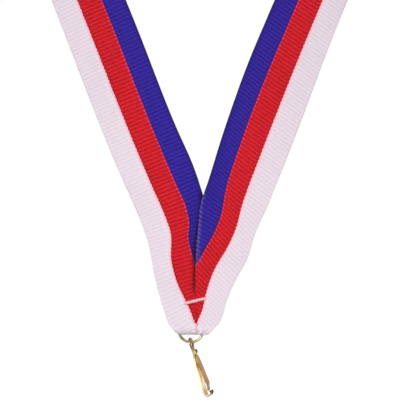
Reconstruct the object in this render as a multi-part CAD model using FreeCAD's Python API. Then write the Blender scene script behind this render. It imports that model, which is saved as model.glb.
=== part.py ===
"""Neck ribbon with a split ring and a stamped snap clip, as sold to carry a sports medal.

The ribbon is one woven strip. It goes round the neck, its two arms meet in a V on the chest,
and both ends pass through the ring from front to back and turn up behind, where one bar tack
of thread holds every layer. Millimetres, +Z up, the wearer's chest faces -Y.
The origin is the middle of the ribbon at the nape, where it rests on the neck.
"""
import FreeCAD, Part
import math
import os

from FreeCAD import Rotation, Vector

# ---- driving dimensions -------------------------------------------------------------------
RIBBON_WIDTH = 22.0
RIBBON_THICK = 0.4
ARM_TILT = 22.6            # degrees from vertical, where an arm runs down to the V
ARM_LENGTH = 362.0         # along the middle of an arm, nape to the V's centre line
CROSSING_HEIGHT = 17.6     # the two arms' middles cross this far above the ribbon's lowest fold

STACK_THICK = 1.2          # the V end is three layers deep: front, and the inner part turned back
RING_GAP = 0.75            # from the ring's plane to the ribbon in front of it and behind it
NECK_HALF_WIDTH = 2.55     # the gathered ribbon where it goes through the ring
TAIL_TOP = 15.0            # the cut ends behind stop this far above the lowest fold
TAIL_HALF_TOP = 6.4
TAIL_HALF_BOTTOM = 3.4
TAIL_LEAN = (6.7, 9.6)     # between these heights the tails lean in against the back of the V
LAP = 0.15                 # fused layers reach this far into each other

RING_CENTRE = (-3.2, 1.55)   # x, z above the ribbon's lowest fold
RING_RADIUS = 3.87
RING_WIRE = 0.85
RING_SLIT = 0.12
RING_SLIT_ANGLE = 118.0

SHEET = 0.5                # brass sheet of the hook
HOOK_WIDTH = 4.2
HOOK_BODY = (7.0, 13.0)    # full width between these distances below the eye
HEAD_RADIUS = 1.95
EYE_RADIUS = 1.15
HOOK_NECK_WIDTH = 2.2
HOOK_NECK = (1.9, 3.4)     # below the eye's centre
HOOK_STRAIGHT = 16.1       # eye centre to the start of the bend
HOOK_INNER_RADIUS = 0.75
NOSE_WIDTH = 2.6
NOSE_BEAD = 0.38
NOSE_RISE = 0.22           # the bead's middle stands this far above the end of the bend
CLIP_TILT = 16.0           # degrees, the hook's lower end hangs to the right
CLIP_TWIST = 15.0          # degrees about its own length
EYE_DROP = 0.5             # the eye's centre hangs this far below the ring's wire

LEAF = 0.3                 # spring sheet of the tongue
LEAF_WIDTH = 4.0
LEAF_NECK_WIDTH = 1.9
LEAF_TIP_WIDTH = 2.4
LEAF_PLAY = 0.06
LEAF_ROOT = (1.95, 3.45)   # below the eye's centre
LEAF_KNEE = (13.2, 1.62)   # below the eye, out from the hook's middle
LEAF_TIP = (15.5, 1.27)
LEAF_BODY = (6.0, 12.0)    # full width between these distances below the eye
LEAF_MIDDLE = SHEET / 2 + LEAF_PLAY + LEAF / 2   # middle of the tongue's root, from the hook's
CLAW_SPAN = (2.05, 3.25)
CLAW_SHEET = 0.24
CLAW_REACH = 0.62          # each lip reaches this far over the tongue
LIP_PLAY = 0.01            # more room under the lips than between the tongue and the hook
SHOULDER = 0.86            # a strip's width at its shoulders, as a part of its full width

TACK_MIDDLE = (-1.8, 10.7)
TACK_LENGTH = 7.0
TACK_HEIGHT = 0.9
TACK_TILT = 13.6
TACK_PROUD = 0.35
STITCHES = 5
STITCH_RADIUS = 0.22

# Edges of the V end, seen from the front: x and height above the lowest fold.
LEFT_EDGE = [(-17.0, 32.0), (-13.0, 13.0), (-11.0, 6.0), (-9.6, 3.0), (-8.4, 1.5)]
RIGHT_EDGE = [(16.5, 31.0), (8.0, 11.0), (6.5, 7.0), (5.0, 3.5), (3.4, 1.7)]
CREASE = [(-1.0, 34.0), (-1.7, 25.0), (-1.7, 2.0)]

# ---- the cone that the worn ribbon lies on ---------------------------------------------------
TILT = math.radians(ARM_TILT)
APEX_TO_CROSSING = ARM_LENGTH / math.cos(TILT)
NAPE_RADIUS = APEX_TO_CROSSING * math.sin(TILT)
APEX_HEIGHT = CROSSING_HEIGHT + APEX_TO_CROSSING
SIN_CONE = (math.pi - 2 * TILT) / (2 * math.pi)
CONE = math.asin(SIN_CONE)
AXIS = Vector(0, math.sin(CONE), -math.cos(CONE))
TO_NAPE = Vector(0, math.cos(CONE), math.sin(CONE))
FRONT_Y = -(RING_GAP + STACK_THICK - RIBBON_THICK / 2)
APEX = Vector(0, FRONT_Y, APEX_HEIGHT)
NAPE = APEX + (AXIS * math.cos(CONE) + TO_NAPE * math.sin(CONE)) * NAPE_RADIUS


def cone_point(radius, azimuth, lift=0.0):
    """A point of the worn ribbon: distance from the apex, azimuth from the nape, lift outwards."""
    out = TO_NAPE * math.cos(azimuth) + Vector(1, 0, 0) * math.sin(azimuth)
    along = AXIS * math.cos(CONE) + out * math.sin(CONE)
    normal = out * math.cos(CONE) - AXIS * math.sin(CONE)
    return APEX + along * radius + normal * lift


def loop_point(distance, across, lift=0.0):
    """distance runs along the ribbon from the nape, across runs towards its inner edge."""
    radius = math.hypot(NAPE_RADIUS - across, distance)
    angle = math.atan2(distance, NAPE_RADIUS - across)
    return cone_point(radius, angle / SIN_CONE, lift)


def chest_point(x, height, lift=0.0):
    """x and height as seen from the front, on the front of the same cone."""
    drop = APEX_HEIGHT - height
    angle = math.atan2(x, drop)
    return cone_point(math.hypot(x, drop), math.pi - angle / SIN_CONE, lift)


# ---- small helpers -------------------------------------------------------------------------------
def curve_x(points, height):
    """x of an edge curve at a height: straight runs between its points, from the top down."""
    for (x0, z0), (x1, z1) in zip(points, points[1:]):
        if height >= z1:
            return x0 + (x1 - x0) * (z0 - height) / (z0 - z1)
    return points[-1][0]


def section(outer, inner, normal, front, back):
    """A thin rectangle across the ribbon, front and back measured from its middle surface."""
    corners = [outer + normal * front, inner + normal * front,
               inner - normal * back, outer - normal * back]
    return Part.makePolygon(corners + corners[:1])


def loft(sections, ruled=False):
    return Part.makeLoft(sections, True, ruled)


def prism(points, direction):
    """A closed outline of 3-D points pushed along a vector."""
    wire = Part.makePolygon([Vector(*p) for p in points] + [Vector(*points[0])])
    return Part.Face(wire).extrude(direction)


def single(shape):
    """The one solid of a boolean's result."""
    solid = shape.removeSplitter().Solids
    assert len(solid) == 1, len(solid)
    return solid[0]


# ---- neck ribbon -------------------------------------------------------------------------------
HALF_WIDTH = RIBBON_WIDTH / 2
HALF_THICK = RIBBON_THICK / 2
NOTCH_RUN = HALF_WIDTH / math.tan(TILT)          # crossing to the row where the inner edges meet
LOOP_HALF = ARM_LENGTH - NOTCH_RUN
NOTCH_HEIGHT = CROSSING_HEIGHT + HALF_WIDTH / math.sin(TILT)
ROW_OUTER = (RIBBON_WIDTH * math.cos(TILT), NOTCH_HEIGHT - RIBBON_WIDTH * math.sin(TILT))
TAIL_FACE = STACK_THICK - RING_GAP + LAP         # the back of the tails, from the ring's plane
NAPE_HALF = 75.0                                 # the stretch behind the neck, a solid of its own
SECTION_STEP = 9.0


def ribbon_stretch(start, end):
    """A stretch of the worn strip, by its distances along the ribbon from the nape."""
    count = math.ceil((end - start) / SECTION_STEP)
    sections = []
    for i in range(count + 1):
        distance = start + (end - start) * i / count
        outer = loop_point(distance, -HALF_WIDTH)
        inner = loop_point(distance, HALF_WIDTH)
        normal = (loop_point(distance, 0, 1) - loop_point(distance, 0)).normalize()
        sections.append(section(outer, inner, normal, HALF_THICK, HALF_THICK))
    return loft(sections)


def v_half(edge, side):
    """One arm's part of the V end: the front layer with its inner part turned back behind it."""
    outline = [(side * ROW_OUTER[0], ROW_OUTER[1])] + edge
    crease = [(0.0, NOTCH_HEIGHT)] + CREASE
    heights = [point[1] for point in outline]
    top, bottom = heights[0], heights[-1]
    sections = []
    for height in heights:
        part = (top - height) / (top - bottom)
        crease_height = NOTCH_HEIGHT + (crease[-1][1] - NOTCH_HEIGHT) * part
        outer = chest_point(curve_x(outline, height), height)
        inner = chest_point(curve_x(crease, crease_height), crease_height)
        middle_x = (outer.x + inner.x) / 2
        normal = (chest_point(middle_x, height, 1) - chest_point(middle_x, height)).normalize()
        sections.append(section(outer, inner, normal, HALF_THICK, STACK_THICK - HALF_THICK))
    return loft(sections, ruled=True)


def turn_through_ring():
    """The gathered fold that goes through the ring from front to back."""
    reach = RING_GAP + STACK_THICK
    x = RING_CENTRE[0] - NECK_HALF_WIDTH
    outside = Part.makeCylinder(reach, 2 * NECK_HALF_WIDTH, Vector(x, 0, reach), Vector(1, 0, 0))
    inside = Part.makeCylinder(RING_GAP, 2 * NECK_HALF_WIDTH, Vector(x, 0, reach), Vector(1, 0, 0))
    upper = Part.makeBox(2 * NECK_HALF_WIDTH, 2 * reach, reach, Vector(x, -reach, reach))
    return outside.cut(inside).cut(upper)


def tails():
    """Both cut ends: up behind the ring, then lying against the back of the V."""
    reach = RING_GAP + STACK_THICK
    low = reach - 2 * LAP
    bend, flat = TAIL_LEAN
    inside, outside = TAIL_FACE - STACK_THICK, TAIL_FACE
    profile = [(RING_GAP, low), (RING_GAP, bend), (inside, flat), (inside, TAIL_TOP),
               (outside, TAIL_TOP), (outside, flat), (reach, bend), (reach, low)]
    x = RING_CENTRE[0]
    wide = 2 * TAIL_HALF_TOP
    band = prism([(x - TAIL_HALF_TOP, y, z) for y, z in profile], Vector(wide, 0, 0))
    outline = [(x - TAIL_HALF_BOTTOM, -reach, low), (x + TAIL_HALF_BOTTOM, -reach, low),
               (x + TAIL_HALF_TOP, -reach, TAIL_TOP), (x - TAIL_HALF_TOP, -reach, TAIL_TOP)]
    return band.common(prism(outline, Vector(0, 2 * reach, 0)))


def ribbon_v_end(tack):
    shape = v_half(LEFT_EDGE, -1)
    for piece in (v_half(RIGHT_EDGE, 1), turn_through_ring(), tails()):
        shape = shape.fuse(piece)
    return single(shape.cut(tack))


# ---- bar tack ----------------------------------------------------------------------------------
def bar_tack():
    """A dense bar of thread on both faces, joined by a row of stitches through all the layers."""
    x, height = TACK_MIDDLE
    front = FRONT_Y - HALF_THICK
    half = TACK_LENGTH / 2
    bars = []
    for face in (front, TAIL_FACE):
        bar = Part.makeBox(TACK_LENGTH, 2 * TACK_PROUD, TACK_HEIGHT,
                           Vector(-half, face - TACK_PROUD, -TACK_HEIGHT / 2))
        bars.append(bar.makeFillet(TACK_PROUD / 2, bar.Edges))
    shape = bars[0].fuse(bars[1])
    for i in range(STITCHES):
        place = (i / (STITCHES - 1) - 0.5) * (TACK_LENGTH - 2 * TACK_HEIGHT)
        stitch = Part.makeCylinder(STITCH_RADIUS, TAIL_FACE - front, Vector(place, front, 0), Vector(0, 1, 0))
        shape = shape.fuse(stitch)
    shape.rotate(Vector(0, 0, 0), Vector(0, 1, 0), -TACK_TILT)
    shape.translate(Vector(x, 0, height))
    return single(shape)


# ---- split ring ----------------------------------------------------------------------------------
def split_ring():
    centre = Vector(RING_CENTRE[0], 0, RING_CENTRE[1])
    ring = Part.makeTorus(RING_RADIUS, RING_WIRE / 2, centre, Vector(0, 1, 0))
    slit = Part.makeBox(2 * RING_WIRE, 2 * RING_WIRE, RING_SLIT,
                        Vector(RING_RADIUS - RING_WIRE, -RING_WIRE, -RING_SLIT / 2))
    slit.rotate(Vector(0, 0, 0), Vector(0, 1, 0), -RING_SLIT_ANGLE)
    slit.translate(centre)
    return single(ring.cut(slit))


# ---- clip, built upright about the eye's centre ---------------------------------------------------
# x runs out of the hook's face towards the tongue, y across its width, z up.
def strip_blank(outline, reach):
    """A flat blank seen from the face, deep enough to cut any bent profile."""
    left = [(-reach, -half, -down) for down, half in outline]
    right = [(-reach, half, -down) for down, half in reversed(outline)]
    return prism(left + right, Vector(2 * reach, 0, 0))


def clip_hook():
    """Flat hook of sheet brass: round head with the eye, neck with claws, bend and beaded nose."""
    half = SHEET / 2
    middle = half + HOOK_INNER_RADIUS
    outer = HOOK_INNER_RADIUS + SHEET
    deep = Vector(0, HOOK_WIDTH, 0)
    low = Vector(0, -HOOK_WIDTH / 2, 0)
    straight = Part.makeBox(SHEET, HOOK_WIDTH, HOOK_STRAIGHT + HEAD_RADIUS,
                            low + Vector(-half, 0, -HOOK_STRAIGHT))
    start = low + Vector(middle, 0, -HOOK_STRAIGHT)
    bend = Part.makeCylinder(outer, deep.y, start, deep)
    bend = bend.cut(Part.makeCylinder(HOOK_INNER_RADIUS, deep.y, start, deep))
    bend = bend.cut(Part.makeBox(4 * outer, deep.y, 2 * outer, start - Vector(2 * outer, 0, 0)))
    neck = HOOK_NECK_WIDTH / 2
    body = HOOK_WIDTH / 2
    outline = [(0, HEAD_RADIUS * 0.9), (HOOK_NECK[0], neck), (HOOK_NECK[1], neck),
               (HOOK_NECK[1] + 1.2, body * SHOULDER), (HOOK_BODY[0], body), (HOOK_BODY[1], body),
               (HOOK_STRAIGHT, body * SHOULDER), (HOOK_STRAIGHT + outer, NOSE_WIDTH / 2)]
    reach = 4 * outer
    blank = strip_blank(outline, reach)
    head = Part.makeCylinder(HEAD_RADIUS, 2 * reach, Vector(-reach, 0, 0), Vector(1, 0, 0))
    eye = Part.makeCylinder(EYE_RADIUS, 2 * reach, Vector(-reach, 0, 0), Vector(1, 0, 0))
    hook = straight.fuse(bend).common(blank.fuse(head)).cut(eye)
    nose_x = 2 * middle
    nose_low = -NOSE_WIDTH / 2
    stem = Part.makeBox(SHEET, NOSE_WIDTH, NOSE_RISE + LAP,
                        Vector(nose_x - half, nose_low, -HOOK_STRAIGHT - LAP))
    bead = Part.makeCylinder(NOSE_BEAD, NOSE_WIDTH, Vector(nose_x, nose_low, NOSE_RISE - HOOK_STRAIGHT),
                             Vector(0, 1, 0))
    return single(hook.fuse(stem).fuse(bead).fuse(claws()))


def claws():
    """Two ears of the hook, bent over the tongue's root."""
    span = CLAW_SPAN[1] - CLAW_SPAN[0]
    inside = HOOK_NECK_WIDTH / 2 - LEAF_PLAY / 3
    outside = inside + CLAW_SHEET
    lip_x = SHEET / 2 + LEAF + 2 * LEAF_PLAY + LIP_PLAY
    shape = None
    for way in (-1, 1):
        wall_low = inside if way > 0 else -outside
        lip_low = outside - CLAW_REACH if way > 0 else -outside
        wall = Part.makeBox(lip_x + CLAW_SHEET + SHEET / 2, CLAW_SHEET, span,
                            Vector(-SHEET / 2, wall_low, -CLAW_SPAN[1]))
        lip = Part.makeBox(CLAW_SHEET, CLAW_REACH, span, Vector(lip_x, lip_low, -CLAW_SPAN[1]))
        ear = wall.fuse(lip)
        shape = ear if shape is None else shape.fuse(ear)
    return shape


def clip_tongue():
    """A leaf of spring sheet: flat root, straight blade, tip that dips behind the nose."""
    path = [(LEAF_ROOT[0], LEAF_MIDDLE), (LEAF_ROOT[1], LEAF_MIDDLE), LEAF_KNEE, LEAF_TIP]
    half = LEAF / 2
    outer, inner = [], []
    for i, (down, out) in enumerate(path):
        before = path[max(i - 1, 0)]
        after = path[min(i + 1, len(path) - 1)]
        run = math.hypot(after[0] - before[0], after[1] - before[1])
        slope = ((after[1] - before[1]) / run, (after[0] - before[0]) / run)
        outer.append((out + half * slope[1], -(down - half * slope[0])))
        inner.append((out - half * slope[1], -(down + half * slope[0])))
    profile = [(x, -LEAF_WIDTH, z) for x, z in outer + inner[::-1]]
    blade = prism(profile, Vector(0, 2 * LEAF_WIDTH, 0))
    neck = LEAF_NECK_WIDTH / 2
    wide = LEAF_WIDTH / 2
    tip = LEAF_TIP_WIDTH / 2
    start, end = LEAF_BODY
    outline = [(0, neck), (CLAW_SPAN[1] + LEAF, neck), (LEAF_ROOT[1] + 0.9, wide * SHOULDER),
               (start, wide), (end, wide), (LEAF_KNEE[0], wide * SHOULDER), (LEAF_KNEE[0] + 1.0, tip),
               (LEAF_TIP[0] - 0.35, tip), (LEAF_TIP[0] + 0.6, tip * 0.6)]
    return single(blade.common(strip_blank(outline, 2 * LEAF_WIDTH)))


def hang(shape):
    """Turn a piece of the clip to where it hangs on the ring."""
    turned = shape.copy()
    turned.rotate(Vector(0, 0, 0), Vector(0, 0, 1), -CLIP_TWIST)
    turned.rotate(Vector(0, 0, 0), Vector(0, 1, 0), -CLIP_TILT)
    turned.translate(EYE)
    return turned


TURN = Rotation(Vector(0, 1, 0), -CLIP_TILT).multiply(Rotation(Vector(0, 0, 1), -CLIP_TWIST))
WIRE = Vector(RING_CENTRE[0], 0, RING_CENTRE[1] - RING_RADIUS)
EYE = WIRE + TURN.multVec(Vector(0, 0, -EYE_DROP))


# ---- all pieces, moved so that the nape is the origin ------------------------------------------------
def main():
    os.makedirs("parts", exist_ok=True)
    tack = bar_tack()
    pieces = {
        "ribbon_left_arm": ribbon_stretch(-LOOP_HALF, -NAPE_HALF),
        "ribbon_nape": ribbon_stretch(-NAPE_HALF, NAPE_HALF),
        "ribbon_right_arm": ribbon_stretch(NAPE_HALF, LOOP_HALF),
        "ribbon_v_end": ribbon_v_end(tack),
        "bar_tack": tack,
        "split_ring": split_ring(),
        "clip_hook": hang(clip_hook()),
        "clip_tongue": hang(clip_tongue()),
    }
    for node, shape in pieces.items():
        shape.translate(-NAPE)
        assert shape.isValid(), node
        shape.exportStep("parts/" + node + ".step")
        box = shape.BoundBox
        print(node, "volume", round(shape.Volume, 3), "box", [round(v, 2) for v in (
            box.XMin, box.YMin, box.ZMin, box.XMax, box.YMax, box.ZMax)])
    hinge = TURN.multVec(Vector(LEAF_MIDDLE, 0, -sum(CLAW_SPAN) / 2)) + EYE
    seat = TURN.multVec(Vector(SHEET / 2 + HOOK_INNER_RADIUS, 0, -HOOK_STRAIGHT)) + EYE
    for name, place in (("ring centre", Vector(RING_CENTRE[0], 0, RING_CENTRE[1])), ("wire", WIRE),
                        ("eye", EYE), ("tongue hinge", hinge), ("hook seat", seat)):
        print(name, [round(v, 3) for v in place - NAPE])
    print("tongue axis", [round(v, 5) for v in TURN.multVec(Vector(0, 1, 0))])
    print("hook axis", [round(v, 5) for v in TURN.multVec(Vector(0, 0, -1))])


main()
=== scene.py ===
"""A striped neck ribbon with its ring and snap clip: cloth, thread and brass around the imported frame."""

import math

import bpy
import numpy as np
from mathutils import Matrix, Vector


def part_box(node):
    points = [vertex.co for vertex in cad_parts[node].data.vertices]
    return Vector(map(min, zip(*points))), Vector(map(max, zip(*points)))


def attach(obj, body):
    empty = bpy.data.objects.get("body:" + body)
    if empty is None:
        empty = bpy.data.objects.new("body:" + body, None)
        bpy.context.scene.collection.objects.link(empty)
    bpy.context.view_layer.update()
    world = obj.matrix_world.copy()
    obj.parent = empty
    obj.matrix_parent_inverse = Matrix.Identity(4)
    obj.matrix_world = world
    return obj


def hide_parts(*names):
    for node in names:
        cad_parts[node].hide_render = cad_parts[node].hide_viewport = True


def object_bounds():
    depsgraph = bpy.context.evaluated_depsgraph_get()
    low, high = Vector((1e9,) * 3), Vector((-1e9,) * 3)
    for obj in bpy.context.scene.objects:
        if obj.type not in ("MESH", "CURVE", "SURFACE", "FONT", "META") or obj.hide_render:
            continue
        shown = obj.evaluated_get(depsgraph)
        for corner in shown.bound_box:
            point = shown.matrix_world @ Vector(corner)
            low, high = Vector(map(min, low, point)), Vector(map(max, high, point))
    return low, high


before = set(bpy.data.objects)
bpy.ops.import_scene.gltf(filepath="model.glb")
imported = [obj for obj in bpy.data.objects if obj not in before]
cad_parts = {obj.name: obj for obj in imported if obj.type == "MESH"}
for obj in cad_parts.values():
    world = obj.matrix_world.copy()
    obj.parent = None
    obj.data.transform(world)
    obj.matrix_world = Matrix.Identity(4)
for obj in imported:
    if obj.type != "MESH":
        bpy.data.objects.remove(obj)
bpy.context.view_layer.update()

MM = 0.001

# ---- where the frame says things are -------------------------------------------------------------
V_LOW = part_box("ribbon_v_end")[0]
RING_LOW, RING_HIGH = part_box("split_ring")
TACK_LOW, TACK_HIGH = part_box("bar_tack")
RING_PLANE = (RING_LOW.y + RING_HIGH.y) / 2
FOLD_HEIGHT = V_LOW.z                       # the ribbon's lowest fold
RING_X = (RING_LOW.x + RING_HIGH.x) / 2 / MM

# ---- the ribbon's own sizes, millimetres ----------------------------------------------------------
WIDTH = 22.0
THICK = 0.32
WHITE_TO_RED = 7.9                          # stripe borders, from the outer edge
RED_TO_BLUE = 14.9
RIB_PITCH = 1.21
ARM_TILT = math.radians(22.6)
ARM_LENGTH = 362.0
CROSSING = 17.6                             # the arms' middles cross this far above the fold
FRONT = -1.75                               # the front layer, from the ring's plane
BEND = 1.95                                 # the front layer starts to turn under at this height
LAYER = 0.33                                # pitch of the layers in the V end
PRESSED = 0.18                              # how much closer the ring presses them together
NOTCH = 43.6                                # the arms' inner edges meet at this height
TAIL_TOP = 15.0
NECK_HALF = 2.55                            # half width of the cloth gathered into the ring
HANG_FROM = 150.0                           # above this height the arms hang straight
STRAIGHTENS = (80.0, HANG_FROM - 10)        # their drawn lines pass into the straight arm here
DRAWN_TOP = 120.0                           # and are held from this height up
COLUMNS = 44
ARM_ROWS = 1.5                              # spacing of the rows of mesh along the arms
V_ROWS = 0.45                               # and in the V end

# ---- how the V end folds and gathers, millimetres --------------------------------------------------
RED_SHOWS_FROM = 2.8                        # heights where the stripes' borders leave the crease
BLUE_SHOWS_FROM = 21.5
UNDERLAP = 0.5                              # the left arm reaches this far under the right one
FOLD_INSET = 3.0                            # folded layers stay this far inside the outer edge
FOLD_RUN = 0.3                              # half of the cloth that a fold takes to change layer
V_MIDDLE_X = -2.5                           # middle of the V at its lowest
V_HALF_LOW = 6.0                            # and half its width there
FIRST_GATHER = 0.3                          # the part of the gathering that comes before the ring
GATHERED_AT_BEND = 0.259                    # how much of that part is left out where the turn begins
PLEAT = 0.26                                # depth of the small pleats in the turn

APEX_TO_CROSSING = ARM_LENGTH / math.cos(ARM_TILT)
NAPE_RADIUS = APEX_TO_CROSSING * math.sin(ARM_TILT)
APEX_HEIGHT = CROSSING + APEX_TO_CROSSING
SIN_CONE = (math.pi - 2 * ARM_TILT) / (2 * math.pi)
COS_CONE = math.sqrt(1 - SIN_CONE ** 2)
LOOP_HALF = ARM_LENGTH - WIDTH / 2 / math.tan(ARM_TILT)
ROW_HEIGHT = CROSSING + WIDTH / 2 / math.sin(ARM_TILT) - WIDTH * math.sin(ARM_TILT)

# Lines of the hanging arms seen from the front: (height above the fold, x), from the bottom up.
CREASE = [(1.5, -1.7), (21, -1.8), (28, -1.5), (34, -0.9)]
LEFT_LINES = {
    "outer": [(1.5, -8.5), (3, -9.8), (6, -11), (20, -14.9), (28, -16.4), (33, -18), (40, -20.8),
              (47, -24), (100, -46)],
    "red": [(1.5, -1.9), (3, -2), (5.5, -2.7), (18, -8.1), (23, -9.3), (32, -9.5), (38, -11.6),
            (47, -15.6), (100, -37.4)],
    "blue": [(21, -1.8), (25, -2.9), (30, -4.1), (35, -3.8), (40, -4.8), (47, -7.9), (65, -15.5),
             (100, -29.2)],
    "inner": CREASE + [(43.6, 0.4), (47, -0.5), (52, -2.2), (65, -7.9), (100, -21.6)],
}
RIGHT_LINES = {
    "outer": [(1.7, 3.6), (3, 5), (6, 6.6), (10, 7.7), (18, 11.2), (23, 14), (32, 17), (40, 20.6),
              (47, 23.5), (100, 44.6)],
    "red": [(1.7, -1.7), (3, -1.5), (8, 0.4), (13, 1.5), (20, 3.9), (28, 8.5), (33, 10.7), (40, 12.6),
            (55, 18.1), (100, 36.3)],
    "blue": [(21, -1.5), (25, 0.3), (31, 3.6), (37, 6.1), (45, 7.6), (60, 12.4), (100, 28.3)],
    "inner": CREASE + [(41, -0.1), (48, 2.2), (62, 6.5), (80, 12.8), (100, 20.7)],
}
# How steeply the ribs climb from the outer edge inwards: (height at the outer edge, rise per width).
LEFT_RIBS = [(-18, 0.25), (2, 0.44), (12, 0.34), (25, 0.27), (38, 0.384)]
RIGHT_RIBS = [(-18, 0.28), (2, 0.58), (12, 0.66), (22, 0.64), (60, 0.6), (100, 0.53), (150, 0.384)]


def smooth(low, high, value):
    """0 at low, 1 at high, eased at both ends; low may be the larger of the two."""
    part = np.clip((value - low) / (high - low), 0, 1)
    return part * part * (3 - 2 * part)


def line(points):
    """x at a height, along a smooth curve through (height, x) points; straight beyond its ends."""
    height = np.array([p[0] for p in points])
    x = np.array([p[1] for p in points])
    run = np.diff(height)
    slope = np.diff(x) / run
    share = run[:-1] / (run[:-1] + run[1:])
    tangent = np.concatenate([slope[:1], slope[:-1] * (1 - share) + slope[1:] * share, slope[-1:]])

    def at(value):
        value = np.asarray(value, float)
        i = np.clip(np.searchsorted(height, value) - 1, 0, len(run) - 1)
        t = (value - height[i]) / run[i]
        inside = np.clip(t, 0, 1)
        a = 2 * inside ** 3 - 3 * inside ** 2 + 1
        b = inside ** 3 - 2 * inside ** 2 + inside
        c = 3 * inside ** 2 - 2 * inside ** 3
        d = inside ** 3 - inside ** 2
        curve = a * x[i] + b * run[i] * tangent[i] + c * x[i + 1] + d * run[i] * tangent[i + 1]
        beyond = (t - inside) * run[i]
        return curve + beyond * np.where(t > 1, tangent[i + 1], tangent[i])

    return at


class Side:
    """One arm's lines, joined smoothly to the straight arm above them."""

    def __init__(self, sign, lines, ribs):
        self.sign = sign
        borders = (0.0, WHITE_TO_RED, RED_TO_BLUE, WIDTH)
        self.lines = {name: self.join(line(points), across)
                      for (name, points), across in zip(lines.items(), borders)}
        self.rib_rise = line(ribs)
        self.rib_ends = ribs[0][0], ribs[-1][0]

    def join(self, curve, across):
        """A line that follows its drawn curve low down and the straight arm above."""
        beside = (WIDTH / 2 - across) / math.cos(ARM_TILT)

        def at(height):
            straight = (height - CROSSING) * math.tan(ARM_TILT) + beside
            share = smooth(*STRAIGHTENS, height)
            return curve(np.minimum(height, DRAWN_TOP)) * (1 - share) + self.sign * straight * share

        return at

    def rise(self, height):
        """How steeply the ribs climb at a height, held beyond the ends of its list."""
        return float(self.rib_rise(min(max(height, self.rib_ends[0]), self.rib_ends[1])))


LEFT = Side(-1, LEFT_LINES, LEFT_RIBS)
RIGHT = Side(1, RIGHT_LINES, RIGHT_RIBS)


def visible_width(height):
    """How much of the cloth's width shows before it turns back at the crease."""
    heights = [CREASE[0][0], RED_SHOWS_FROM, BLUE_SHOWS_FROM, NOTCH, NOTCH + 1.5]
    return np.interp(height, heights, [WHITE_TO_RED - 0.3, WHITE_TO_RED, RED_TO_BLUE, WIDTH, WIDTH + 1])


# ---- the cone that the worn ribbon lies on ---------------------------------------------------------
def cone_point(radius, azimuth, lift):
    """Rows of x, y, z in millimetres from the fold, for a cone whose front line is upright."""
    along = np.stack([SIN_CONE * np.sin(azimuth),
                      COS_CONE * SIN_CONE * (1 + np.cos(azimuth)),
                      -COS_CONE ** 2 + SIN_CONE ** 2 * np.cos(azimuth)], -1)
    normal = np.stack([COS_CONE * np.sin(azimuth),
                       COS_CONE ** 2 * np.cos(azimuth) - SIN_CONE ** 2,
                       COS_CONE * SIN_CONE * (np.cos(azimuth) + 1)], -1)
    apex = np.array([0.0, FRONT, APEX_HEIGHT])
    return apex + along * np.asarray(radius)[..., None] + normal * np.asarray(lift)[..., None]


def loop_row(side, distance, across):
    """The worn strip: distance along it from the nape, across from its outer edge."""
    inwards = across - WIDTH / 2
    radius = np.hypot(NAPE_RADIUS - inwards, distance)
    angle = side.sign * np.arctan2(distance, NAPE_RADIUS - inwards)
    return cone_point(radius, angle / SIN_CONE, arm_lift(side, distance, across))


def chest_point(x, height, lift):
    """Rows of x, y, z for cloth on the cone's front, at x and height, standing off it by lift."""
    drop = APEX_HEIGHT - height
    angle = np.arctan2(x, drop)
    return cone_point(np.hypot(x, drop), math.pi - angle / SIN_CONE, lift)


def arm_lift(side, distance, across):
    """Cloth is never quite flat: slow waves along the arms, a slight cup across, none at the V."""
    calm = smooth(LOOP_HALF - 10, LOOP_HALF - 90, distance) * smooth(0.0, 40.0, distance)
    wave = 0.5 * np.sin(distance / 31.0 + side.sign) + 0.25 * np.sin(distance / 17.0 + across / 9.0)
    cup = -0.25 * ((across / WIDTH - 0.5) * 2) ** 2
    return calm * (wave + cup)


# ---- the V end ----------------------------------------------------------------------------------------
def front_lift(side, across, height):
    """How far the front layer of the V stands off the flat."""
    from_crease = visible_width(height) - across
    near = np.exp(-(from_crease / 3.2) ** 2)
    low = smooth(9.0, 3.0, height)
    fade_up = smooth(80.0, 50.0, height)
    edge_roll = np.exp(-(across / 3.0) ** 2) * smooth(5.0, 14.0, height) * smooth(44.0, 30.0, height)
    buckle = np.sin(height / 4.6 + side.sign) * np.sin(across / WIDTH * math.pi)
    buckle = 0.2 * buckle * smooth(3.0, 9.0, height) * smooth(60.0, 40.0, height)
    if side.sign > 0:
        crest = 0.15 + 0.5 * smooth(12.0, 20.0, height) + 0.85 * smooth(26.0, 46.0, height)
        crest = crest * (1 - low) - 0.05 * low
        return crest * near * fade_up - 0.25 * edge_roll + buckle
    crest = -0.45 * (1 - low) + 0.3 * low
    swell = 0.7 * np.exp(-((across - 9.0) / 5.0) ** 2)
    swell = swell * smooth(12.0, 30.0, height) * smooth(60.0, 36.0, height)
    return crest * near * smooth(56.0, 44.0, height) + swell - 0.45 * edge_roll + buckle


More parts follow.
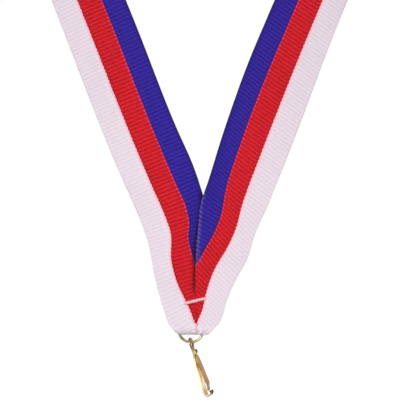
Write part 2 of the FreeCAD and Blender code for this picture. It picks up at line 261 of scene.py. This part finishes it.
def front_x(side, across, height):
    """x and layer of each column at its height, folded back behind itself past the crease."""
    seen_height = np.maximum(height, BEND)
    lines = {name: at(seen_height) for name, at in side.lines.items()}
    width = visible_width(seen_height)
    reach = UNDERLAP if side.sign < 0 else 0.0
    crease = lines["inner"] + reach * smooth(NOTCH + 3, NOTCH - 6, seen_height)
    x = np.empty_like(across)
    for i, u in enumerate(across):
        known, place = [0.0], [lines["outer"][i]]
        for border, name in ((WHITE_TO_RED, "red"), (RED_TO_BLUE, "blue")):
            if width[i] > border + FOLD_RUN:
                known.append(border)
                place.append(lines[name][i])
        known.append(min(width[i], WIDTH))
        place.append(crease[i])
        x[i] = np.interp(u, known, place)
    room = np.maximum(np.abs(crease - lines["outer"]) - FOLD_INSET, FOLD_INSET)
    turned = np.maximum(across - width, 0)
    folds = turned / room
    whole = np.floor(folds)
    back = np.where(whole % 2 == 0, folds - whole, 1 - (folds - whole)) * room
    x = np.where(across > width, crease + side.sign * back, x)
    layer = smooth(-FOLD_RUN, FOLD_RUN, across - width)
    for k in (1, 2, 3):
        layer = layer + smooth(-FOLD_RUN, FOLD_RUN, turned - k * room) * (turned > 0)
    return x, layer


def v_row(side, outer):
    """One row of threads in the V end, from the straight arm to the cut end behind."""
    across = np.linspace(0, WIDTH, COLUMNS + 1)
    height = outer + across * side.rise(outer)
    x, layer = front_x(side, across, height)
    distance = LOOP_HALF - (outer - ROW_HEIGHT) / math.cos(ARM_TILT)
    front = front_lift(side, across, height) + arm_lift(side, min(distance, LOOP_HALF), across)
    pitch = LAYER * (1 - PRESSED * smooth(8.0, 3.4, height))
    lift = front * smooth(2.5, 0.0, layer) - pitch * layer
    points = chest_point(x, height, lift)
    bent = through_ring(side, x, height, layer, pitch)
    return np.where((height < BEND)[:, None], bent, points)


def through_ring(side, x, height, layer, pitch):
    """Below the bend the cloth gathers, turns through the ring, and spreads again up behind it."""
    turn = np.clip((BEND - height) / -FRONT, 0, math.pi)
    tight = RING_X + 0.1 + (x - V_MIDDLE_X) * NECK_HALF / V_HALF_LOW
    gather = FIRST_GATHER * smooth(-0.5, 1.0, turn) * (turn > 0)
    gather = gather + (1 - FIRST_GATHER) * smooth(0.95, 1.4, turn)
    left_out = FIRST_GATHER * GATHERED_AT_BEND * smooth(0.6, 0.0, turn)
    gather = np.where(turn > 0, gather - left_out, 0.0)
    pleats = np.sin(x * 2.4) + 0.6 * np.sin(x * 4.3 + 1.0)
    pleats = PLEAT * (pleats * smooth(0.0, 0.5, turn) * smooth(1.6, 1.0, turn))
    radius = -FRONT - pitch * layer + pleats
    bend_x = x * (1 - gather) + tight * gather
    climb = np.maximum(BEND - height + FRONT * math.pi, 0)
    spread = smooth(0.5, 7.5, climb)
    lean = -0.13 * side.sign * climb
    wide = RING_X + 0.9 + (x - V_MIDDLE_X) * (0.72 + 0.02 * climb) + lean
    bend_x = bend_x * (1 - spread) + wide * spread
    settle = smooth(4.0, 7.5, climb)
    flat = -0.30 + LAYER * (3 - layer) * 0.8 - 0.12 * side.sign
    bend_y = -radius * np.cos(turn) * (1 - settle) + flat * settle
    bend_z = BEND - radius * np.sin(turn) + climb
    return np.stack([bend_x, bend_y, bend_z], -1)


def fold_light_and_shade(side, across, height):
    """Above 0 for a painted highlight along the right arm's fold, below 0 for painted shade where the left
    arm tucks under it.
    """
    from_crease = visible_width(height) - across
    if side.sign < 0:
        tucked_shade = np.exp(-((from_crease - 0.6) / 0.65) ** 2)
        return -tucked_shade * smooth(11.5, 15.0, height) * smooth(48.0, 42.0, height)
    near = np.exp(-((from_crease - 0.1) / 0.3) ** 2)
    return near * smooth(18.0, 28.0, height) * smooth(52.0, 46.0, height)


def half_ribbon(side):
    """Rows of one arm from the nape's middle to its cut end, with each row's distance and its painted fold
    highlight and shade.
    """
    across = np.linspace(0, WIDTH, COLUMNS + 1)
    straight = LOOP_HALF - (HANG_FROM - ROW_HEIGHT) / math.cos(ARM_TILT)
    distances = list(np.linspace(0, straight, int(straight / ARM_ROWS)))
    rows = [loop_row(side, distance, across) for distance in distances]
    folds = [0 * across] * len(rows)
    end = BEND + FRONT * math.pi - (TAIL_TOP - BEND)
    count = int((HANG_FROM - end) / V_ROWS)
    for i in range(1, count + 1):
        outer = HANG_FROM + (end - HANG_FROM) * i / count
        rows.append(v_row(side, outer))
        folds.append(fold_light_and_shade(side, across, outer + across * side.rise(outer)))
        step = np.median(np.linalg.norm(rows[-1] - rows[-2], axis=1))
        distances.append(distances[-1] + step)
    return rows, distances, folds


def mesh_object(name, points, faces):
    """A smooth-shaded piece from its points, in metres, and its faces."""
    mesh = bpy.data.meshes.new(name)
    mesh.from_pydata([tuple(p) for p in points], [], [tuple(f) for f in faces])
    mesh.update()
    piece = bpy.data.objects.new(name, mesh)
    bpy.context.scene.collection.objects.link(piece)
    for polygon in mesh.polygons:
        polygon.use_smooth = True
    return piece


def to_row_frame(points):
    """Millimetres from the ring's plane and the lowest fold to metres in the row frame."""
    return points * MM + np.array([0.0, RING_PLANE, FOLD_HEIGHT])


def make_ribbon():
    """The whole strip as one sheet of cloth, and its cut length in metres."""
    left, left_far, left_folds = half_ribbon(LEFT)
    right, right_far, right_folds = half_ribbon(RIGHT)
    rows = left[::-1] + right[1:]
    folds = left_folds[::-1] + right_folds[1:]
    along = [-d for d in left_far[::-1]] + right_far[1:]
    across = np.linspace(0, WIDTH, COLUMNS + 1)
    points = to_row_frame(np.concatenate(rows))
    wide = COLUMNS + 1
    faces = []
    for r in range(len(rows) - 1):
        for c in range(COLUMNS):
            a = r * wide + c
            faces.append((a, a + 1, a + wide + 1, a + wide))
    piece = mesh_object("neck_ribbon", points, faces)
    weave = piece.data.uv_layers.new(name="weave")
    coords = np.empty((len(piece.data.loops), 2), np.float32)
    index = np.empty(len(piece.data.loops), np.int32)
    piece.data.loops.foreach_get("vertex_index", index)
    coords[:, 0] = across[index % wide] / WIDTH
    coords[:, 1] = np.array(along)[index // wide] / RIB_PITCH
    weave.data.foreach_set("uv", coords.ravel())
    # The fold attribute carries the painted highlight on the right arm's fold and the painted shade where
    # the left arm tucks under it.
    marks = piece.data.attributes.new("fold", "FLOAT", "POINT")
    marks.data.foreach_set("value", np.concatenate(folds).astype(np.float32))
    solid = piece.modifiers.new("cloth thickness", "SOLIDIFY")
    solid.thickness = THICK * MM
    solid.offset = 0
    solid.use_rim = True
    return piece, (along[-1] - along[0]) * MM


# ---- materials ------------------------------------------------------------------------------------------
def new_group(name, inputs, outputs):
    """An empty shader group with its named inputs, their values, and its outputs."""
    group = bpy.data.node_groups.new(name, "ShaderNodeTree")
    for label, kind, value in inputs:
        socket = group.interface.new_socket(label, in_out="INPUT", socket_type=kind)
        socket.default_value = value
    for label, kind in outputs:
        group.interface.new_socket(label, in_out="OUTPUT", socket_type=kind)
    return group


class Tree:
    """Short words for wiring shader nodes."""

    def __init__(self, tree):
        self.tree = tree

    def node(self, kind, **values):
        made = self.tree.nodes.new(kind)
        for key, value in values.items():
            setattr(made, key, value)
        return made

    def link(self, source, target):
        self.tree.links.new(source, target)

    def put(self, socket, value):
        if hasattr(value, "is_output"):
            self.link(value, socket)
        else:
            socket.default_value = value

    def math(self, operation, a, b=None, clamp=False):
        made = self.node("ShaderNodeMath", operation=operation, use_clamp=clamp)
        for socket, value in zip(made.inputs, (a, b)):
            if value is not None:
                self.put(socket, value)
        return made.outputs[0]

    def ramp(self, value, low, high, to_low=0.0, to_high=1.0):
        made = self.node("ShaderNodeMapRange", interpolation_type="SMOOTHSTEP")
        self.put(made.inputs["Value"], value)
        made.inputs["From Min"].default_value = low
        made.inputs["From Max"].default_value = high
        made.inputs["To Min"].default_value = to_low
        made.inputs["To Max"].default_value = to_high
        return made.outputs["Result"]

    def mix(self, share, a, b):
        made = self.node("ShaderNodeMix", data_type="RGBA")
        self.put(made.inputs[0], share)
        self.put(made.inputs[6], a)
        self.put(made.inputs[7], b)
        return made.outputs[2]

    def noise(self, scale, detail=2.0, vector=None, roughness=0.5):
        made = self.node("ShaderNodeTexNoise")
        made.inputs["Scale"].default_value = scale
        made.inputs["Detail"].default_value = detail
        made.inputs["Roughness"].default_value = roughness
        if vector is not None:
            self.link(vector, made.inputs["Vector"])
        return made.outputs["Fac"]


def rgb(red, green, blue):
    """A screen colour, each part from 0 to 255, as the linear colour that the shaders take."""

    def linear(value):
        value = value / 255
        return value / 12.92 if value <= 0.04045 else ((value + 0.055) / 1.055) ** 2.4

    return (linear(red), linear(green), linear(blue), 1.0)


def cross_ribs():
    """Weft ribs across the cloth, wrapped by fine warp threads. Across is in mm, Ribs counts ribs."""
    group = new_group("cross_ribs",
                      [("Across", "NodeSocketFloat", 0.0), ("Ribs", "NodeSocketFloat", 0.0),
                       ("Thread Pitch", "NodeSocketFloat", 0.52)],
                      [("Height", "NodeSocketFloat"), ("Ridge", "NodeSocketFloat"),
                       ("Thread", "NodeSocketFloat"), ("Mottle", "NodeSocketFloat")])
    t = Tree(group)
    given = t.node("NodeGroupInput")
    out = t.node("NodeGroupOutput")
    across, ribs = given.outputs["Across"], given.outputs["Ribs"]
    place = t.node("ShaderNodeCombineXYZ")
    t.link(across, place.inputs[0])
    t.link(ribs, place.inputs[1])
    drift = t.noise(1.6, 4.0, place.outputs[0], 0.65)
    drifted = t.math("ADD", ribs, t.math("MULTIPLY", t.math("SUBTRACT", drift, 0.5), 0.95))
    shift = t.math("MULTIPLY", t.math("FLOOR", drifted), 0.5)
    thread_phase = t.math("ADD", t.math("DIVIDE", across, given.outputs["Thread Pitch"]), shift)
    thread_centred = t.math("SUBTRACT", t.math("MULTIPLY", t.math("FRACT", thread_phase), 2.0), 1.0)
    thread = t.math("SUBTRACT", 1.0, t.math("MULTIPLY", thread_centred, thread_centred))
    pulled = t.math("ADD", drifted, t.math("MULTIPLY", thread, 0.12))
    centred = t.math("SUBTRACT", t.math("MULTIPLY", t.math("FRACT", pulled), 2.0), 1.0)
    ridge = t.math("SUBTRACT", 1.0, t.math("POWER", t.math("ABSOLUTE", centred), 2.0))
    stretched = t.node("ShaderNodeMapping")
    stretched.inputs["Scale"].default_value = (0.55, 1.6, 1.0)
    t.link(place.outputs[0], stretched.inputs["Vector"])
    mottle = t.noise(1.9, 5.0, stretched.outputs[0], 0.78)
    height = t.math("ADD", t.math("MULTIPLY", ridge, 0.75), t.math("MULTIPLY", thread, 0.25))
    height = t.math("ADD", height, t.math("MULTIPLY", mottle, 0.25))
    for label, value in (("Height", height), ("Ridge", ridge), ("Thread", thread), ("Mottle", mottle)):
        t.link(value, out.inputs[label])
    return group


def brass_finish():
    """Plated sheet brass: a slow tone drift, fine polishing lines, dull spots and a given amount of
    painted shade.
    """
    group = new_group("brass_finish",
                      [("Bright", "NodeSocketColor", (0.9, 0.7, 0.4, 1)),
                       ("Dull", "NodeSocketColor", (0.4, 0.28, 0.1, 1)),
                       ("Roughness", "NodeSocketFloat", 0.2), ("Wear", "NodeSocketFloat", 0.4),
                       ("Painted Shade", "NodeSocketFloat", 0.0)],
                      [("Colour", "NodeSocketColor"), ("Roughness", "NodeSocketFloat"),
                       ("Height", "NodeSocketFloat")])
    t = Tree(group)
    given = t.node("NodeGroupInput")
    out = t.node("NodeGroupOutput")
    place = t.node("ShaderNodeTexCoord").outputs["Object"]
    slow = t.noise(520.0, 3.0, place)
    fine = t.noise(2600.0, 4.0, place, 0.6)
    lines = t.node("ShaderNodeMapping")
    lines.inputs["Scale"].default_value = (9000.0, 9000.0, 500.0)
    t.link(place, lines.inputs["Vector"])
    polish = t.noise(1.0, 3.0, lines.outputs[0])
    share = t.math("MULTIPLY", t.ramp(slow, 0.4, 0.75), given.outputs["Wear"])
    # Painted shade: the given amount darkens the brass towards Dull, on top of its dull spots.
    share = t.math("ADD", share, given.outputs["Painted Shade"], clamp=True)
    t.link(t.mix(share, given.outputs["Bright"], given.outputs["Dull"]), out.inputs["Colour"])
    grain = t.math("MULTIPLY", t.math("SUBTRACT", fine, 0.4), 0.25)
    rough = t.math("ADD", given.outputs["Roughness"], grain)
    rough = t.math("ADD", rough, t.math("MULTIPLY", share, 0.12))
    t.link(t.math("MAXIMUM", rough, 0.06), out.inputs["Roughness"])
    height = t.math("ADD", t.math("MULTIPLY", polish, 0.6), t.math("MULTIPLY", fine, 0.4))
    t.link(height, out.inputs["Height"])
    return group


def new_material(name):
    """A material that has only its Principled surface so far, with its tree to wire."""
    material = bpy.data.materials.new(name)
    material.use_nodes = True
    tree = material.node_tree
    tree.nodes.clear()
    t = Tree(tree)
    surface = t.node("ShaderNodeBsdfPrincipled")
    end = t.node("ShaderNodeOutputMaterial")
    t.link(surface.outputs[0], end.inputs["Surface"])
    return material, t, surface


def striped_weave(ribs_group):
    """Stripes by the distance across the cloth, with toothed borders where the ribs cross them."""
    material, t, surface = new_material("striped ribbed weave")
    uv = t.node("ShaderNodeUVMap", uv_map="weave")
    split = t.node("ShaderNodeSeparateXYZ")
    t.link(uv.outputs[0], split.inputs[0])
    across = t.math("MULTIPLY", split.outputs[0], WIDTH)
    ribs = split.outputs[1]
    weave = t.node("ShaderNodeGroup", node_tree=ribs_group)
    t.link(across, weave.inputs["Across"])
    t.link(ribs, weave.inputs["Ribs"])
    ridge, mottle, thread = weave.outputs["Ridge"], weave.outputs["Mottle"], weave.outputs["Thread"]
    tooth = t.math("MULTIPLY", t.math("SUBTRACT", ridge, 0.6), 0.24)
    border = t.math("ADD", across, tooth)
    red = t.ramp(border, WHITE_TO_RED - 0.06, WHITE_TO_RED + 0.1)
    blue = t.ramp(border, RED_TO_BLUE - 0.16, RED_TO_BLUE + 0.16)
    raised = t.math("MULTIPLY", t.math("ADD", t.math("MULTIPLY", thread, 0.45), 0.42), ridge)
    shade = t.math("ADD", t.math("MULTIPLY", t.math("SUBTRACT", mottle, 0.38), 1.5), raised, clamp=True)
    white_tone = t.mix(shade, rgb(216, 198, 210), rgb(234, 221, 230))
    red_tone = t.mix(shade, rgb(120, 0, 6), rgb(224, 22, 38))
    blue_tone = t.mix(shade, rgb(10, 2, 86), rgb(52, 32, 160))
    rim = t.ramp(across, WIDTH - 0.9, WIDTH - 0.2)
    blue_tone = t.mix(t.math("MULTIPLY", rim, 0.7), blue_tone, rgb(20, 8, 80))
    colour = t.mix(red, white_tone, red_tone)
    colour = t.mix(blue, colour, blue_tone)
    pink = t.math("MULTIPLY", t.ramp(border, WHITE_TO_RED - 0.75, WHITE_TO_RED - 0.35),
                  t.ramp(border, WHITE_TO_RED + 0.08, WHITE_TO_RED - 0.08))
    colour = t.mix(t.math("MULTIPLY", pink, 0.9), colour, rgb(255, 184, 196))
    seam = t.math("MULTIPLY", t.ramp(border, WHITE_TO_RED - 0.02, WHITE_TO_RED + 0.12),
                  t.ramp(border, WHITE_TO_RED + 0.5, WHITE_TO_RED + 0.25))
    colour = t.mix(t.math("MULTIPLY", seam, 0.75), colour, rgb(96, 0, 22))
    second = t.math("MULTIPLY", t.ramp(border, RED_TO_BLUE - 0.1, RED_TO_BLUE + 0.15),
                    t.ramp(border, RED_TO_BLUE + 0.75, RED_TO_BLUE + 0.4))
    colour = t.mix(t.math("MULTIPLY", second, 0.55), colour, rgb(60, 0, 84))
    stitch = t.math("MULTIPLY", t.ramp(border, RED_TO_BLUE - 0.45, RED_TO_BLUE - 0.15),
                    t.ramp(border, RED_TO_BLUE + 0.2, RED_TO_BLUE - 0.02))
    stitch = t.math("MULTIPLY", stitch, t.ramp(ridge, 0.45, 0.95))
    colour = t.mix(t.math("MULTIPLY", stitch, 0.4), colour, rgb(226, 96, 148))
    fold = t.node("ShaderNodeAttribute", attribute_name="fold").outputs["Fac"]
    # Painted highlight: the right arm's fold is lightened towards lilac on the ridges.
    fold_highlight = t.math("MULTIPLY", t.math("MAXIMUM", fold, 0.0), t.math("MULTIPLY", ridge, 0.5))
    colour = t.mix(fold_highlight, colour, rgb(168, 142, 214))
    # Painted shade: the cloth where the left arm tucks under the right one is darkened towards near black.
    tucked_shade = t.math("MAXIMUM", t.math("MULTIPLY", fold, -0.8), 0.0)
    colour = t.mix(tucked_shade, colour, rgb(34, 0, 22))
    t.link(colour, surface.inputs["Base Color"])
    t.link(t.math("SUBTRACT", 0.86, t.math("MULTIPLY", thread, 0.14)), surface.inputs["Roughness"])
    depth = t.math("ADD", t.math("MULTIPLY", red, 0.55), 0.45)
    bump = t.node("ShaderNodeBump")
    bump.inputs["Strength"].default_value = 0.5
    bump.inputs["Distance"].default_value = 0.00018
    t.link(t.math("MULTIPLY", weave.outputs["Height"], depth), bump.inputs["Height"])
    t.link(bump.outputs[0], surface.inputs["Normal"])
    surface.inputs["Specular IOR Level"].default_value = 0.2
    surface.inputs["Sheen Weight"].default_value = 0.05
    surface.inputs["Sheen Roughness"].default_value = 0.5
    return material


def brass(name, finish, bright, dull, rough, marks, painted_shade=(), shade_spot=None):
    """A brass with painted shade: a list of (unshaded height, dark height, amount) that darkens it along
    its height, and a painted dark spot given as (centre, radius); metres.
    """
    material, t, surface = new_material(name)
    plate = t.node("ShaderNodeGroup", node_tree=finish)
    plate.inputs["Bright"].default_value = bright
    plate.inputs["Dull"].default_value = dull
    plate.inputs["Roughness"].default_value = rough
    plate.inputs["Wear"].default_value = marks
    place = t.node("ShaderNodeTexCoord").outputs["Object"]
    split = t.node("ShaderNodeSeparateXYZ")
    t.link(place, split.inputs[0])
    total = plate.inputs["Painted Shade"].default_value
    # Painted shade along the height, darker towards the dark height.
    for unshaded, dark, amount in painted_shade:
        here = t.ramp(split.outputs[2], min(unshaded, dark), max(unshaded, dark),
                      amount * (unshaded > dark), amount * (unshaded < dark))
        total = t.math("ADD", here, total)
    if painted_shade:
        t.link(total, plate.inputs["Painted Shade"])
    colour, gloss = plate.outputs["Colour"], plate.outputs["Roughness"]
    if shade_spot:
        # Painted shade: a dark spot that stands in for the dark reflection on the hook's nose.
        near = t.node("ShaderNodeVectorMath", operation="DISTANCE")
        t.link(place, near.inputs[0])
        near.inputs[1].default_value = shade_spot[0]
        dark = t.ramp(near.outputs["Value"], 0.55 * shade_spot[1], shade_spot[1], 1.0, 0.0)
        colour = t.mix(dark, colour, rgb(58, 48, 28))
        gloss = t.math("ADD", gloss, t.math("MULTIPLY", dark, 0.3))
    t.link(colour, surface.inputs["Base Color"])
    t.link(gloss, surface.inputs["Roughness"])
    surface.inputs["Metallic"].default_value = 1.0
    bump = t.node("ShaderNodeBump")
    bump.inputs["Strength"].default_value = 0.12
    bump.inputs["Distance"].default_value = 0.00003
    t.link(plate.outputs["Height"], bump.inputs["Height"])
    t.link(bump.outputs[0], surface.inputs["Normal"])
    return material


def spun_thread():
    """Pinkish thread of two plies twisted together, with a fine fuzz over them."""
    material, t, surface = new_material("spun thread")
    uv = t.node("ShaderNodeUVMap", uv_map="thread")
    split = t.node("ShaderNodeSeparateXYZ")
    t.link(uv.outputs[0], split.inputs[0])
    twist = t.math("FRACT", t.math("ADD", t.math("MULTIPLY", split.outputs[0], 2.0),
                                   t.math("MULTIPLY", split.outputs[1], 3.2)))
    off_crown = t.math("ABSOLUTE", t.math("SUBTRACT", t.math("MULTIPLY", twist, 2.0), 1.0))
    ply = t.math("SUBTRACT", 1.0, off_crown)
    fuzz = t.noise(5200.0, 3.0, t.node("ShaderNodeTexCoord").outputs["Object"])
    tone = t.math("ADD", t.math("MULTIPLY", ply, 0.6), t.math("MULTIPLY", fuzz, 0.5), clamp=True)
    t.link(t.mix(tone, rgb(236, 158, 166), rgb(255, 214, 216)), surface.inputs["Base Color"])
    t.link(t.math("ADD", 0.6, t.math("MULTIPLY", fuzz, 0.3)), surface.inputs["Roughness"])
    bump = t.node("ShaderNodeBump")
    bump.inputs["Strength"].default_value = 0.5
    bump.inputs["Distance"].default_value = 0.00006
    t.link(tone, bump.inputs["Height"])
    t.link(bump.outputs[0], surface.inputs["Normal"])
    surface.inputs["Sheen Weight"].default_value = 0.2
    return material


# ---- bar tack -------------------------------------------------------------------------------------
TACK_LENGTH = 7.0
TACK_HEIGHT = 0.9
TACK_TILT = math.radians(13.6)
THREAD = 0.34
STITCHES = 27                               # close stitches on each face
THROUGH = 5                                 # stitches that run through all the layers


def thread_tube(points, radius, sides=7):
    """A round tube along a list of points, with its ends closed."""
    points = np.array(points, float)
    ahead = np.gradient(points, axis=0)
    ahead /= np.linalg.norm(ahead, axis=1)[:, None]
    up = np.array([0.0, 1.0, 0.0])
    rings, coords, length = [], [], 0.0
    for i, (centre, way) in enumerate(zip(points, ahead)):
        side = np.cross(way, up)
        if np.linalg.norm(side) < 0.2:
            side = np.cross(way, np.array([1.0, 0.0, 0.0]))
        side /= np.linalg.norm(side)
        other = np.cross(side, way)
        length += np.linalg.norm(points[i] - points[i - 1]) if i else 0.0
        for k in range(sides):
            angle = 2 * math.pi * k / sides
            rings.append(centre + radius * (side * math.cos(angle) + other * math.sin(angle)))
            coords.append((k / sides, length))
    faces = []
    for i in range(len(points) - 1):
        for k in range(sides):
            a, b = i * sides + k, i * sides + (k + 1) % sides
            faces.append((a, b, b + sides, a + sides))
    faces.append(tuple(range(sides))[::-1])
    faces.append(tuple(range(len(rings) - sides, len(rings))))
    return rings, faces, coords


def tack_path(face, way, seed):
    """A zigzag of close stitches on one face, rising off the cloth between its needle holes."""
    rng = np.random.default_rng(seed)
    path = []
    for i in range(STITCHES + 1):
        place = -TACK_LENGTH / 2 + TACK_LENGTH * i / STITCHES
        height = TACK_HEIGHT / 2 * (1 if i % 2 else -1) * rng.uniform(0.85, 1.12)
        if path:
            last = path[-1]
            for share in (0.3, 0.7):
                proud = face + way * (0.24 + rng.uniform(0, 0.06))
                x = last[0] + (place - last[0]) * share
                path.append((x, proud, last[2] + (height - last[2]) * share))
        path.append((place + rng.uniform(-0.03, 0.03), face, height))
    return path


def make_tack():
    """The bar tack: close stitches on both faces, their padding threads, and stitches through."""
    middle_x = (TACK_LOW.x + TACK_HIGH.x) / 2 / MM
    middle_z = ((TACK_LOW.z + TACK_HIGH.z) / 2 - FOLD_HEIGHT) / MM
    front_face = FRONT - THICK / 2 - 0.1
    back_face = (TACK_HIGH.y - RING_PLANE) / MM - 0.3
    runs = [tack_path(front_face, -1, 3), tack_path(back_face, 1, 4)]
    for face, way in ((front_face - 0.02, -1), (back_face + 0.02, 1)):
        for offset in (-0.22, 0.2):
            runs.append([(-TACK_LENGTH / 2 + TACK_LENGTH * i / 12, face + way * 0.05,
                          offset + 0.05 * math.sin(i * 1.7)) for i in range(13)])
    for i in range(THROUGH):
        place = -TACK_LENGTH / 2 + 0.5 + (TACK_LENGTH - 1.0) * i / (THROUGH - 1)
        runs.append([(place, front_face + (back_face - front_face) * k / 4, 0.0) for k in range(5)])
    points, faces, coords = [], [], []
    for run in runs:
        rings, around, places = thread_tube(run, THREAD / 2)
        base = len(points)
        points += rings
        coords += places
        faces += [tuple(base + v for v in face) for face in around]
    points = np.array(points)
    cosine, sine = math.cos(TACK_TILT), math.sin(TACK_TILT)
    turned = points.copy()
    turned[:, 0] = points[:, 0] * cosine - points[:, 2] * sine + middle_x
    turned[:, 2] = points[:, 0] * sine + points[:, 2] * cosine + middle_z
    piece = mesh_object("bar_tack_thread", to_row_frame(turned), faces)
    layer = piece.data.uv_layers.new(name="thread")
    for loop in piece.data.loops:
        layer.data[loop.index].uv = coords[loop.vertex_index]
    return piece


# ---- ring and clip --------------------------------------------------------------------------------
SOFT_EDGE = 0.1 * MM                        # bevel of the sheared metal


def finish_metals():
    """Brass on the ring, the hook and the tongue, with their sheared edges softened and given a darker
    brass as painted shade, and painted shade on the hook.
    """
    finish = brass_finish()
    # Painted shade: the bevelled edges get a darker brass, standing in for the dark reflections along
    # curved edges.
    rim = brass("brass rim painted dark", finish, rgb(146, 134, 96), rgb(76, 66, 38), 0.3, 0.8)
    low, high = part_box("clip_hook")
    # Painted shade: the hook is darkened towards its neck and its bend, and a painted dark spot sits on
    # its nose, standing in for the dark reflections there.
    neck_shade = (high.z - 7.5 * MM, high.z - 3.0 * MM, 0.8)
    bend_shade = (low.z + 4.5 * MM, low.z + 1.5 * MM, 0.5)
    nose = (high.x - 0.8 * MM, low.y + 1.8 * MM, low.z + 1.9 * MM)
    metals = {
        "split_ring": brass("ring brass", finish, rgb(160, 150, 120), rgb(92, 80, 52), 0.24, 0.9),
        "clip_hook": brass("hook brass", finish, rgb(250, 226, 170), rgb(120, 96, 50), 0.2, 0.5,
                           (neck_shade, bend_shade), (nose, 2.1 * MM)),
        "clip_tongue": brass("tongue brass", finish, rgb(168, 124, 50), rgb(88, 60, 16), 0.3, 0.8),
    }
    for node, material in metals.items():
        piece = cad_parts[node]
        for slot in piece.material_slots:
            slot.material = material
        piece.data.materials.append(rim)
        edge = piece.modifiers.new("softened edges", "BEVEL")
        edge.width = SOFT_EDGE
        edge.segments = 2
        edge.limit_method = "ANGLE"
        edge.angle_limit = math.radians(40)
        edge.material = len(piece.material_slots) - 1


# ---- stage ----------------------------------------------------------------------------------------
VIEW_WIDTH = 124.6 * MM                     # at the ribbon's front
VIEW_X = -0.39 * MM                         # middle of the view, and its height above the fold
VIEW_HEIGHT = 42.07 * MM
CAMERA_RUN = 0.80                           # metres
SENSOR = 36.0
FLOOR_HALF = 1.6
FLOOR_DROP = 80 * MM                        # the part hangs this far above the floor
FLOOR_GLOW = 0.75
WORLD_LIGHT = 0.42


def add_camera():
    """A long lens, level and straight at the ribbon's front."""
    data = bpy.data.cameras.new("camera")
    data.sensor_width = SENSOR
    data.lens = SENSOR * CAMERA_RUN / VIEW_WIDTH
    data.clip_start = 0.01
    camera = bpy.data.objects.new("camera", data)
    bpy.context.scene.collection.objects.link(camera)
    camera.location = (VIEW_X, RING_PLANE + FRONT * MM - CAMERA_RUN, FOLD_HEIGHT + VIEW_HEIGHT)
    camera.rotation_euler = (math.pi / 2, 0, 0)
    bpy.context.scene.camera = camera


def add_light(name, place, size, power, aim, spread=180.0):
    """A round area lamp aimed at a place, with its power in watts and its spread in degrees."""
    data = bpy.data.lights.new(name, "AREA")
    data.shape = "DISK"
    data.size = size
    data.energy = power
    data.spread = math.radians(spread)
    lamp = bpy.data.objects.new(name, data)
    bpy.context.scene.collection.objects.link(lamp)
    lamp.location = place
    lamp.rotation_euler = (Vector(aim) - Vector(place)).to_track_quat("-Z", "Y").to_euler()


def seen(t):
    """1 where a surface is seen straight on, in a gloss or through glass, 0 where it only lights."""
    path = t.node("ShaderNodeLightPath")
    direct = t.math("MAXIMUM", path.outputs["Is Camera Ray"], path.outputs["Is Glossy Ray"])
    return t.math("MAXIMUM", direct, path.outputs["Is Transmission Ray"])


def seen_as_white(t, strength_elsewhere):
    """Strength 1 where the background is seen, and a weaker light elsewhere."""
    return t.math("ADD", t.math("MULTIPLY", seen(t), 1.0 - strength_elsewhere), strength_elsewhere)


def add_world():
    """A white surrounding that lights only weakly."""
    world = bpy.data.worlds.new("studio")
    bpy.context.scene.world = world
    world.use_nodes = True
    world.node_tree.nodes.clear()
    t = Tree(world.node_tree)
    background = t.node("ShaderNodeBackground")
    end = t.node("ShaderNodeOutputWorld")
    background.inputs["Color"].default_value = (1, 1, 1, 1)
    t.link(seen_as_white(t, WORLD_LIGHT), background.inputs["Strength"])
    t.link(background.outputs[0], end.inputs["Surface"])


def add_floor():
    """A pale floor under the part, brightened where it is seen."""
    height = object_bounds()[0].z - FLOOR_DROP
    corners = [(-1, -1), (1, -1), (1, 1), (-1, 1)]
    points = [(x * FLOOR_HALF, y * FLOOR_HALF, height) for x, y in corners]
    floor = mesh_object("floor", points, [(0, 1, 2, 3)])
    material, t, surface = new_material("pale floor")
    surface.inputs["Base Color"].default_value = (0.86, 0.86, 0.86, 1)
    surface.inputs["Roughness"].default_value = 0.9
    surface.inputs["Emission Color"].default_value = (1, 1, 1, 1)
    t.link(t.math("MULTIPLY", seen(t), FLOOR_GLOW), surface.inputs["Emission Strength"])
    floor.data.materials.append(material)


def add_lights():
    """A key from the left that falls mostly on the V, a soft fill from the right, one behind."""
    middle = (0.0, RING_PLANE, FOLD_HEIGHT + 0.05)
    low_middle = (0.0, RING_PLANE, FOLD_HEIGHT + 0.01)
    add_light("key", (-0.45, RING_PLANE - 0.9, FOLD_HEIGHT + 0.45), 0.5, 0.40, low_middle, 36.0)
    add_light("fill", (0.75, RING_PLANE - 0.7, FOLD_HEIGHT + 0.1), 0.7, 2.6, middle)
    add_light("back", (0.1, RING_PLANE + 1.0, FOLD_HEIGHT + 0.7), 0.6, 4.5, middle)


def main():
    """The stage, then the cloth and thread in place of their frame nodes, then the metals."""
    add_camera()
    add_world()
    add_floor()
    add_lights()

    ribbon, cut_length = make_ribbon()
    ribbon.data.materials.append(striped_weave(cross_ribs()))
    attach(ribbon, "ribbon")
    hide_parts("ribbon_left_arm", "ribbon_nape", "ribbon_right_arm", "ribbon_v_end")

    tack = make_tack()
    tack.data.materials.append(spun_thread())
    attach(tack, "ribbon")
    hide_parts("bar_tack")

    finish_metals()
    bpy.context.scene.view_settings.view_transform = "Standard"


main()
